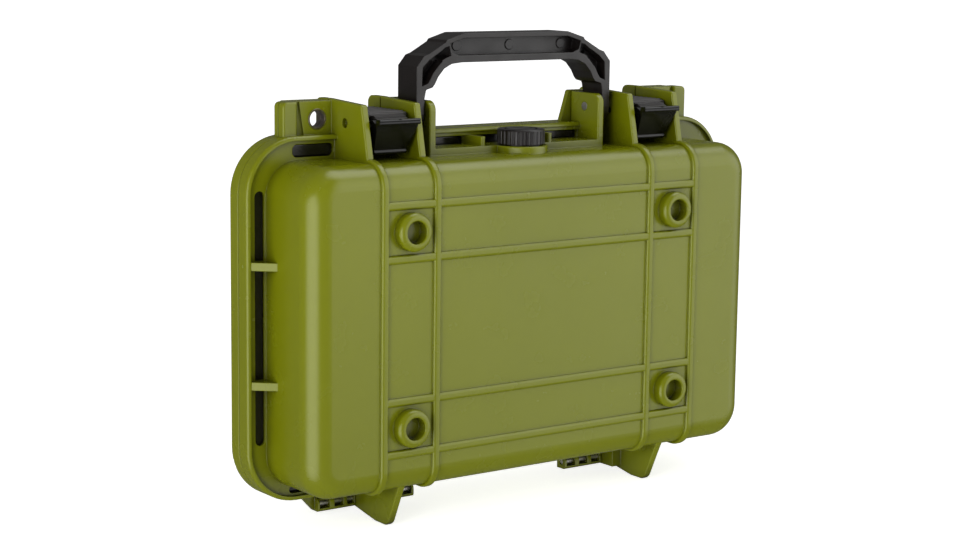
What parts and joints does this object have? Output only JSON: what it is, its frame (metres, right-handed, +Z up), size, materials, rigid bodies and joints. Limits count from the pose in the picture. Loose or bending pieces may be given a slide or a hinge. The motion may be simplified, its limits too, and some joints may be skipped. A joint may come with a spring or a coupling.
{
  "type": "handgun case",
  "caption": "Small moulded hard case for a handgun with a hinged lid, draw latches, folding handle, padlock tabs, purge valve and foam lining.",
  "frame": {"origin": "bottom centre of the closed case as it stands on its hinge side, on the surface under the four fins", "axes": "+X along the case's width, +Y from the base towards the lid, +Z up from the hinges towards the handle; the feet point along -Y"},
  "size_m": [0.3014, 0.0858, 0.2424],
  "materials": {
    "shell": "fine moulded texture, olive green",
    "black_plastic": "satin black, glass-filled",
    "pin_steel": "drawn wire",
    "sleeve_steel": "turned",
    "seal_rubber": "smooth",
    "membrane": "porous white",
    "foam": "open-cell, charcoal"
  },
  "bodies": {
    "base": {"base_shell": "shell", "handle_pins": "pin_steel", "latch_pivot_pins": "pin_steel", "hinge_pins": "pin_steel", "padlock_sleeves_base": "sleeve_steel", "valve_body": "black_plastic", "valve_nut": "black_plastic", "valve_o_ring": "seal_rubber", "valve_membrane": "membrane", "base_foam": "foam", "base_foam_pad": "foam", "seal": "seal_rubber"},
    "lid": {"lid_shell": "shell", "padlock_sleeves_lid": "sleeve_steel", "lid_foam": "foam"},
    "handle": {"handle": "black_plastic"},
    "lever_left": {"latch_lever_left": "black_plastic", "latch_link_pin_left": "pin_steel"},
    "claw_left": {"latch_claw_left": "black_plastic"},
    "lever_right": {"latch_lever_right": "black_plastic", "latch_link_pin_right": "pin_steel"},
    "claw_right": {"latch_claw_right": "black_plastic"},
    "purge_knob": {"valve_knob": "black_plastic"}
  },
  "joints": [
    {"name": "lid_hinge", "type": "hinge", "parent": "base", "child": "lid", "pos_m": [0, 0.0111, 0.0074], "axis": [-1, 0, 0], "range_deg": [0, 100]},
    {"name": "handle_pivot", "type": "hinge", "parent": "base", "child": "handle", "pos_m": [0, -0.0009, 0.2025], "axis": [1, 0, 0], "range_deg": [-15, 90]},
    {"name": "purge_turn", "type": "hinge", "parent": "base", "child": "purge_knob", "pos_m": [0, -0.0138, 0.19], "axis": [0, 0, 1], "range_deg": [0, 360]},
    {"name": "latch_left", "type": "hinge", "parent": "base", "child": "lever_left", "pos_m": [-0.0828, -0.0044, 0.2], "axis": [-1, 0, 0], "range_deg": [0, 90]},
    {"name": "claw_left_link", "type": "hinge", "parent": "lever_left", "child": "claw_left", "pos_m": [-0.0828, -0.0183, 0.1998], "axis": [-1, 0, 0], "range_deg": [-90, 0]},
    {"name": "latch_right", "type": "hinge", "parent": "base", "child": "lever_right", "pos_m": [0.0828, -0.0044, 0.2], "axis": [-1, 0, 0], "range_deg": [0, 90]},
    {"name": "claw_right_link", "type": "hinge", "parent": "lever_right", "child": "claw_right", "pos_m": [0.0828, -0.0183, 0.1998], "axis": [-1, 0, 0], "range_deg": [-90, 0]}
  ],
  "couplings": [
    {"joint": "claw_left_link", "follows": "latch_left", "ratio": -1},
    {"joint": "claw_right_link", "follows": "latch_right", "ratio": -1}
  ]
}
